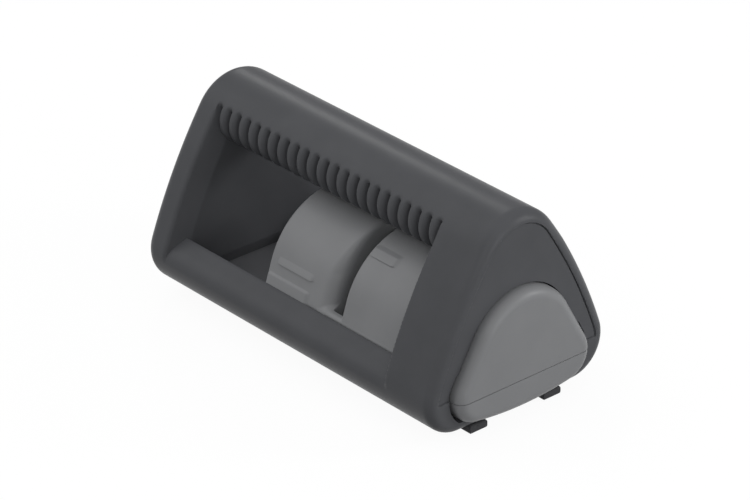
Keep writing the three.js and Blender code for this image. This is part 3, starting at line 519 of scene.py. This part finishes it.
def finish(name, dark, light, patch_mm, grain_mm, bump_mm, roughness, spread, **shader):
    """A surface with broad patches of tone, and a fine grain in its bump and its roughness."""
    material = bpy.data.materials.new(name)
    material.use_nodes = True
    tree = material.node_tree
    tree.nodes.clear()
    place = add(tree, "ShaderNodeTexCoord").outputs["Object"]
    patch = add(tree, "ShaderNodeTexNoise", {"Vector": place, "Scale": grain(patch_mm), "Detail": 3.0})
    fine = add(tree, "ShaderNodeTexNoise", {"Vector": place, "Scale": grain(grain_mm), "Detail": 2.0,
                                            "Roughness": 0.6})
    tone = add(tree, "ShaderNodeMapRange", {"Value": patch.outputs["Fac"], "From Min": 0.3, "From Max": 0.7})
    # Inputs 6 and 7 of the mix are its two colours
    colour = add(tree, "ShaderNodeMix", {0: tone.outputs["Result"], 6: linear(dark), 7: linear(light)},
                 data_type="RGBA")
    gloss = add(tree, "ShaderNodeMapRange", {"Value": fine.outputs["Fac"], "From Min": 0.3, "From Max": 0.7,
                                             "To Min": roughness - spread, "To Max": roughness + spread})
    bump = add(tree, "ShaderNodeBump", {"Height": fine.outputs["Fac"], "Strength": 1.0,
                                        "Distance": bump_mm * MM})
    inputs = {"Base Color": colour.outputs[2], "Roughness": gloss.outputs["Result"],
              "Normal": bump.outputs["Normal"]}
    surface = add(tree, "ShaderNodeBsdfPrincipled", {**inputs, **shader})
    add(tree, "ShaderNodeOutputMaterial", {"Surface": surface.outputs["BSDF"]})
    return material


# Charcoal ABS moulded in a spark-eroded tool: dull, with a pebbled grain of about 0.4 mm.
charcoal_abs = finish("moulded_charcoal_abs", "#525356", "#56575a", 14, 0.4, 0.004, 0.38, 0.04, IOR=1.52,
                      **{"Specular IOR Level": 0.09})
# The base plate is of polypropylene, dull from the same tool texture. Its grey is painted lighter than the
# housing's charcoal as painted light, standing in for the light that reaches the floor inside the window.
painted_light_grey = finish("grey_polypropylene_painted_lighter", "#6c6d70", "#717275", 14, 0.4, 0.012, 0.6, 0.05,
                            IOR=1.49, **{"Specular IOR Level": 0.2})
# Mid-grey ABS from a finer tool: a smoother satin that shows broad soft highlights.
grey_abs = finish("satin_grey_abs", "#7f8082", "#848587", 18, 0.5, 0.008, 0.42, 0.05, IOR=1.52,
                  **{"Specular IOR Level": 0.3})
# Black moulded rubber: nearly no gloss, a little bloom that greys it in patches.
black_rubber = finish("moulded_black_rubber", "#313134", "#38383a", 3, 0.5, 0.02, 0.85, 0.06, IOR=1.5)
# Bright zinc-plated steel of the screws, axle, clips, washers and spring.
bright_steel = finish("bright_plated_steel", "#a8aaad", "#c2c4c6", 2, 0.3, 0.003, 0.3, 0.06, Metallic=1.0)
# Natural acetal of the cradle, hubs and spacer: off-white, waxy.
acetal = finish("natural_acetal", "#d3d3cd", "#dcdcd7", 6, 0.6, 0.004, 0.42, 0.05, IOR=1.48)
# Coarse sintered ceramic: brown-grey grains of half a millimetre that stand out of the bond.
coarse_ceramic = finish("coarse_sintered_ceramic", "#6f665d", "#9a8f84", 0.7, 0.45, 0.06, 0.9, 0.06, IOR=1.6)
# Fine sintered ceramic: chalky off-white, its grain just visible.
fine_ceramic = finish("fine_sintered_ceramic", "#dcd8ce", "#ece9e2", 1.5, 0.25, 0.012, 0.78, 0.06, IOR=1.6)


# Geometry Nodes

def tree_with_inputs(name, sockets):
    tree = bpy.data.node_groups.new(name, "GeometryNodeTree")
    tree.interface.new_socket("Geometry", in_out="INPUT", socket_type="NodeSocketGeometry")
    for socket, kind in sockets.items():
        tree.interface.new_socket(socket, in_out="INPUT", socket_type=kind)
    tree.interface.new_socket("Geometry", in_out="OUTPUT", socket_type="NodeSocketGeometry")
    return tree


def run_nodes(piece, tree, values):
    """Runs a tree on a piece with its sizes, and leaves a plain mesh."""
    modifier = piece.modifiers.new(tree.name, "NODES")
    modifier.node_group = tree
    for item in tree.interface.items_tree:
        if item.in_out == "INPUT" and item.name in values:
            modifier[item.identifier] = values[item.name]
    plain = bpy.data.objects.new(piece.name + "_made", result_mesh(piece))
    bpy.context.scene.collection.objects.link(plain)
    name = piece.name
    bpy.data.objects.remove(piece)
    plain.name = name
    return plain


def ribbed_grip_tree():
    """A sheet wrapped round the grip's outline and sunk into round-ended grooves, which leave the ribs."""
    size, whole = "NodeSocketFloat", "NodeSocketInt"
    tree = tree_with_inputs("ribbed_grip", {
        "Start": size, "Length": size, "Half Girth": size, "Half Pitch": size, "First Groove": size,
        "Groove End": size, "Groove Bed": size, "Groove Lip": size, "Groove Depth": size,
        "Columns": whole, "Rows": whole, "Points": whole, "Material": "NodeSocketMaterial"})
    given = add(tree, "NodeGroupInput").outputs
    sheet = add(tree, "GeometryNodeMeshGrid", {"Size X": given["Length"], "Vertices X": given["Columns"],
                                               "Vertices Y": given["Rows"]})
    spot = add(tree, "ShaderNodeSeparateXYZ", {0: add(tree, "GeometryNodeInputPosition").outputs[0]})
    half = add(tree, "ShaderNodeMath", {0: given["Length"], 1: 0.5}, operation="MULTIPLY")
    along = add(tree, "ShaderNodeMath", {0: spot.outputs[0], 1: half.outputs[0]}, operation="ADD").outputs[0]
    index = add(tree, "GeometryNodeInputIndex")
    row = add(tree, "ShaderNodeMath", {0: index.outputs[0], 1: given["Rows"]}, operation="FLOORED_MODULO")
    point = add(tree, "ShaderNodeMath", {0: row.outputs[0], 1: given["Points"]}, operation="FLOORED_MODULO")
    outline = {"Geometry": given["Geometry"], "Index": point.outputs[0]}
    position = add(tree, "GeometryNodeInputPosition").outputs[0]
    place = add(tree, "GeometryNodeSampleIndex", {**outline, "Value": position}, data_type="FLOAT_VECTOR")
    tangent = add(tree, "GeometryNodeInputTangent").outputs[0]
    onward = add(tree, "GeometryNodeSampleIndex", {**outline, "Value": tangent}, data_type="FLOAT_VECTOR")
    passed = add(tree, "GeometryNodeSplineParameter").outputs["Length"]
    girth = add(tree, "GeometryNodeSampleIndex", {**outline, "Value": passed}, data_type="FLOAT")
    climb = add(tree, "ShaderNodeMath", {0: girth.outputs[0], 1: given["Half Girth"]}, operation="PINGPONG")
    past = add(tree, "ShaderNodeMath", {0: climb.outputs[0], 1: given["Groove End"]}, operation="SUBTRACT")
    past = add(tree, "ShaderNodeMath", {0: past.outputs[0], 1: 0.0}, operation="MAXIMUM")
    beside = add(tree, "ShaderNodeMath", {0: along, 1: given["First Groove"]}, operation="SUBTRACT")
    beside = add(tree, "ShaderNodeMath", {0: beside.outputs[0], 1: given["Half Pitch"]}, operation="PINGPONG")
    away = add(tree, "ShaderNodeCombineXYZ", {0: beside.outputs[0], 1: past.outputs[0]})
    away = add(tree, "ShaderNodeVectorMath", {0: away.outputs[0]}, operation="LENGTH")
    share = add(tree, "ShaderNodeMapRange", {"Value": away.outputs["Value"], "From Min": given["Groove Bed"],
                                             "From Max": given["Groove Lip"], "To Min": 1.0, "To Max": 0.0})
    round_off = add(tree, "ShaderNodeMath", {0: share.outputs["Result"], 1: 2.0}, operation="POWER")
    round_off = add(tree, "ShaderNodeMath", {0: 1.0, 1: round_off.outputs[0]}, operation="SUBTRACT")
    round_off = add(tree, "ShaderNodeMath", {0: round_off.outputs[0]}, operation="SQRT")
    round_off = add(tree, "ShaderNodeMath", {0: 1.0, 1: round_off.outputs[0]}, operation="SUBTRACT")
    sunk = add(tree, "ShaderNodeMath", {0: round_off.outputs[0], 1: given["Groove Depth"]},
               operation="MULTIPLY")
    inward = add(tree, "ShaderNodeVectorMath", {0: (1.0, 0.0, 0.0), 1: onward.outputs[0]},
                 operation="CROSS_PRODUCT")
    down = add(tree, "ShaderNodeVectorMath", {0: inward.outputs[0], "Scale": sunk.outputs[0]},
               operation="SCALE")
    from_start = add(tree, "ShaderNodeMath", {0: along, 1: given["Start"]}, operation="ADD")
    lengthwise = add(tree, "ShaderNodeCombineXYZ", {0: from_start.outputs[0]})
    spot = add(tree, "ShaderNodeVectorMath", {0: place.outputs[0], 1: down.outputs[0]}, operation="ADD")
    spot = add(tree, "ShaderNodeVectorMath", {0: spot.outputs[0], 1: lengthwise.outputs[0]}, operation="ADD")
    moved = add(tree, "GeometryNodeSetPosition", {"Geometry": sheet.outputs["Mesh"],
                                                  "Position": spot.outputs[0]})
    closed = add(tree, "GeometryNodeMergeByDistance", {"Geometry": moved.outputs[0], "Distance": 1e-6})
    turned = add(tree, "GeometryNodeFlipFaces", {"Mesh": closed.outputs[0]})
    real = add(tree, "GeometryNodeRealizeInstances", {"Geometry": turned.outputs[0]})
    dressed = add(tree, "GeometryNodeSetMaterial", {"Geometry": real.outputs[0],
                                                    "Material": given["Material"]})
    add(tree, "NodeGroupOutput", {"Geometry": dressed.outputs[0]})
    return tree


def arc_points(arc, first, last, steps):
    return [polar(arc, arc[2], angle) for angle in np.linspace(first, last, steps)]


def ribbed_grip():
    """The grip between the window ends. Its outline has most of its points where the grooves are."""
    rise = math.degrees(math.asin((GROOVE_TOP_Z - GRIP[1]) / GRIP_ROUND))
    bend = rise - GROOVE_END_ARC
    half = [(0.0, GRIP[1] - GRIP_ROUND)] + arc_points(GRIP, -90, bend, ARC_STEPS)
    half += arc_points(GRIP, bend, GRIP_ANGLE, ARC_STEPS)[1:]
    half += arc_points(RIDGE, GRIP_ANGLE, 90, RIDGE_STEPS)[1:]
    loop = half + [(-y, z) for y, z in half[-2:0:-1]]
    curve = bpy.data.curves.new("ribbed_grip", "CURVE")
    curve.dimensions = "3D"
    spline = curve.splines.new("POLY")
    spline.points.add(len(loop) - 1)
    for point, (y, z) in zip(spline.points, loop):
        point.co = (0, y * MM, z * MM, 1)
    spline.use_cyclic_u = True
    piece = bpy.data.objects.new("ribbed_grip", curve)
    bpy.context.scene.collection.objects.link(piece)
    steps = np.diff(np.array(loop + loop[:1]), axis=0)
    girth = np.hypot(steps[:, 0], steps[:, 1]).sum()
    reach = GRIP[0] + GRIP_ROUND * math.radians(90 + rise)
    piece = run_nodes(piece, ribbed_grip_tree(), {
        "Start": GROOVE_LEFT * MM, "Length": (WINDOW_RIGHT - GROOVE_LEFT) * MM, "Half Girth": girth / 2 * MM,
        "Half Pitch": GROOVE_PITCH / 2 * MM, "First Groove": GROOVE_WIDTH / 2 * MM,
        "Groove End": (reach - GROOVE_WIDTH / 2) * MM, "Groove Bed": BED_SHARE * GROOVE_WIDTH * MM,
        "Groove Lip": LIP_SHARE * GROOVE_PITCH * MM, "Groove Depth": GROOVE_DEPTH * MM,
        "Columns": RIB_COLUMNS * RIB_COUNT,
        "Rows": len(loop) + 1, "Points": len(loop), "Material": charcoal_abs})
    shade(piece.data, RIB_SHARP_ANGLE)
    return piece


# Pieces of the housing

def settle(piece, material, body, slot, *nodes):
    """Gives a finished piece its material and its place in the frame."""
    piece.data.materials.clear()
    piece.data.materials.append(material)
    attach(piece, body)
    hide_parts(*nodes)
    return piece


# Room round a form in its grid, grid steps and most triangles
ROOM, SLIM_ROOM, SIDE_ROOM = 1.3, 1, 2
HOUSING_STEP, PANEL_STEP, COVER_STEP, TRAY_STEP = 0.62, 0.45, 0.3, 0.55
MOST_PANEL, MOST_TRAY = 40000, 90000
RIDGE_TOP = RIDGE[1] + RIDGE_ROUND

housing = formed("housing_body", housing_form, (LEFT_END - ROOM, -HALF_WIDTH - ROOM, UNDERSIDE_Z - ROOM),
                 (RIGHT_END + ROOM, HALF_WIDTH + ROOM, RIDGE_TOP + ROOM), HOUSING_STEP)
settle(housing, charcoal_abs, "housing", "housing_plastic", "housing_shell")
settle(ribbed_grip(), charcoal_abs, "housing", "housing_plastic", "housing_shell")
right_panel = formed("right_end_plate", right_panel_form,
                     (RIGHT_END - PANEL_THICKNESS - SLIM_ROOM, -HALF_WIDTH, PANEL_BOTTOM - SLIM_ROOM),
                     (RIGHT_END + SLIM_ROOM, HALF_WIDTH, RIDGE_TOP), PANEL_STEP, MOST_PANEL)
settle(right_panel, charcoal_abs, "housing", "housing_plastic", "right_end_panel")
left_panel = formed("left_end_plate", left_panel_form,
                    (LEFT_END - SLIM_ROOM, -HALF_WIDTH, PANEL_BOTTOM - SLIM_ROOM),
                    (LEFT_END + PANEL_THICKNESS + SLIM_ROOM, HALF_WIDTH, RIDGE_TOP), PANEL_STEP, MOST_PANEL)
settle(left_panel, charcoal_abs, "housing", "housing_plastic", "left_end_panel")

# Pieces of the carriage

cover = formed("slotted_carriage_cover", cover_form,
               (DOME_LEFT - ROOM, -DOME_SIDE - SIDE_ROOM, CARRIAGE_SEAM - SLIM_ROOM),
               (KNOB_FACE + ROOM, DOME_SIDE + SIDE_ROOM, DOME[1] + DOME[2] + ROOM), COVER_STEP)
settle(cover, grey_abs, "carriage", "carriage_plastic", "carriage_cover")
tray = formed("carriage_lower_tray", tray_form,
              (TRAY_LEFT - ROOM, -DOME_SIDE - SIDE_ROOM, KNOB_BOTTOM - SLIM_ROOM),
              (KNOB_FACE + ROOM, DOME_SIDE + SIDE_ROOM, CARRIAGE_SEAM + SLIM_ROOM), TRAY_STEP, MOST_TRAY)
settle(tray, grey_abs, "carriage", "carriage_plastic", "carriage_tray")

# Wheels

def wheel_disc(name, side, x):
    """One half of a grinding wheel, with its cone towards the other half."""
    cone = DISC_INNER + DISC_CONE_RUN * math.tan(math.radians(DISC_CONE_ANGLE))
    profile = [(DISC_INNER, DISC_BORE), (DISC_INNER, DISC_NARROW), (cone, DISC_CONE_TOP),
               (cone + DISC_BEVEL, DISC_ROUND), (DISC_OUTER - DISC_BEVEL, DISC_ROUND),
               (DISC_OUTER, DISC_ROUND - DISC_BEVEL), (DISC_OUTER, DISC_BORE)]
    profile = [(side * a, r) for a, r in profile]
    return lathed(name, profile if side < 0 else profile[::-1], x)


for wheel, ceramic in (("coarse", coarse_ceramic), ("fine", fine_ceramic)):
    for side, word in ((-1, "left"), (1, "right")):
        disc = wheel_disc(f"{wheel}_grinding_disc_{word}", side, WHEEL_X[wheel])
        settle(disc, ceramic, f"{wheel}_wheel", f"{wheel}_ceramic", f"{wheel}_disc_{word}")

# Nodes whose own shape is kept
for name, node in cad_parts.items():
    if node.hide_render:
        continue
    if name.startswith("foot"):
        look = black_rubber
    elif "screw" in name or "clip" in name or "washer" in name or name in ("wheel_axle", "detent_spring"):
        look = bright_steel
    elif name in ("wheel_cradle", "wheel_spacer") or name.endswith("hub"):
        look = acetal
    else:
        # The base plate and the remaining parts take the grey that is painted lighter as painted light
        look = painted_light_grey
    node.data.materials.clear()
    node.data.materials.append(look)


# Studio

FLOOR_GLOW, FLOOR_SIZE, FLOOR_DROP = 0.94, 8, -0.0002
AIR_LEVELS, AIR_BRIGHT_SIDE = (0.2, 0.64), (0.0, -0.8, 0.6)
LAMP_AIM = (0, 0, 0.03)


def white_ground(name, shade_hex):
    """A pale ground that the camera sees as white, and that keeps the shadow under the sharpener."""
    material = bpy.data.materials.new(name)
    material.use_nodes = True
    tree = material.node_tree
    tree.nodes.clear()
    seen = add(tree, "ShaderNodeLightPath").outputs
    straight = add(tree, "ShaderNodeMath", {0: seen["Is Camera Ray"], 1: seen["Is Glossy Ray"]},
                   operation="MAXIMUM")
    straight = add(tree, "ShaderNodeMath", {0: straight.outputs[0], 1: seen["Is Transmission Ray"]},
                   operation="MAXIMUM")
    glow = add(tree, "ShaderNodeMath", {0: straight.outputs[0], 1: FLOOR_GLOW}, operation="MULTIPLY")
    pale = add(tree, "ShaderNodeBsdfDiffuse", {"Color": linear(shade_hex)})
    white = add(tree, "ShaderNodeEmission", {"Color": (1, 1, 1, 1), "Strength": glow.outputs[0]})
    both = add(tree, "ShaderNodeAddShader", {0: pale.outputs[0], 1: white.outputs[0]})
    add(tree, "ShaderNodeOutputMaterial", {"Surface": both.outputs[0]})
    return material


bpy.ops.mesh.primitive_plane_add(size=FLOOR_SIZE, location=(0, 0, FLOOR_DROP))
floor = bpy.context.object
floor.name = "studio_floor"
floor.data.materials.append(white_ground("pale_studio_floor", "#4c4c4c"))

world = bpy.data.worlds.new("studio_air")
bpy.context.scene.world = world
world.use_nodes = True
tree = world.node_tree
tree.nodes.clear()
way = add(tree, "ShaderNodeTexCoord").outputs["Generated"]
ahead = add(tree, "ShaderNodeVectorMath", {0: way, 1: AIR_BRIGHT_SIDE}, operation="DOT_PRODUCT")
level = add(tree, "ShaderNodeMapRange", {"Value": ahead.outputs["Value"], "From Min": -1.0, "From Max": 1.0,
                                         "To Min": AIR_LEVELS[0], "To Max": AIR_LEVELS[1]})
air = add(tree, "ShaderNodeBackground", {"Color": (1, 1, 1, 1), "Strength": level.outputs["Result"]})
add(tree, "ShaderNodeOutputWorld", {"Surface": air.outputs[0]})


def soft_box(name, place, size, watts):
    """A square or oblong lamp that points at the sharpener."""
    lamp = bpy.data.lights.new(name, "AREA")
    lamp.shape = "RECTANGLE"
    lamp.size, lamp.size_y = size
    lamp.energy = watts
    light = bpy.data.objects.new(name, lamp)
    bpy.context.scene.collection.objects.link(light)
    light.location = place
    direction = [a - p for a, p in zip(LAMP_AIM, place)]
    light.rotation_euler = Vector(direction).to_track_quat("-Z", "Y").to_euler()


soft_box("key_soft_box", (-0.55, -0.5, 0.82), (1.0, 1.0), 3.2)
soft_box("ridge_strip", (-0.82, 0.62, 0.65), (0.16, 0.16), 1.2)
soft_box("back_soft_box", (0.5, 0.5, 0.3), (0.2, 0.2), 1.6)
soft_box("end_soft_box", (1.2, 0.12, 0.22), (0.2, 0.3), 2.6)
soft_box("front_soft_box", (0.95, -0.8, 0.72), (0.2, 0.2), 1.8)

# Camera
AZIMUTH, ELEVATION, DISTANCE = 48.73, 28.31, 1.3098
TARGET = (0.00035, 0.0, 0.0329)
lens = bpy.data.cameras.new("camera")
lens.sensor_width = 36
lens.lens = 187.3
camera = bpy.data.objects.new("camera", lens)
bpy.context.scene.collection.objects.link(camera)
flat = DISTANCE * math.cos(math.radians(ELEVATION))
camera.location = (
    TARGET[0] + flat * math.sin(math.radians(AZIMUTH)),
    TARGET[1] - flat * math.cos(math.radians(AZIMUTH)),
    TARGET[2] + DISTANCE * math.sin(math.radians(ELEVATION)),
)
camera.rotation_euler = (math.radians(90 - ELEVATION), 0, math.radians(AZIMUTH))
bpy.context.scene.camera = camera
bpy.context.scene.view_settings.view_transform = "Standard"
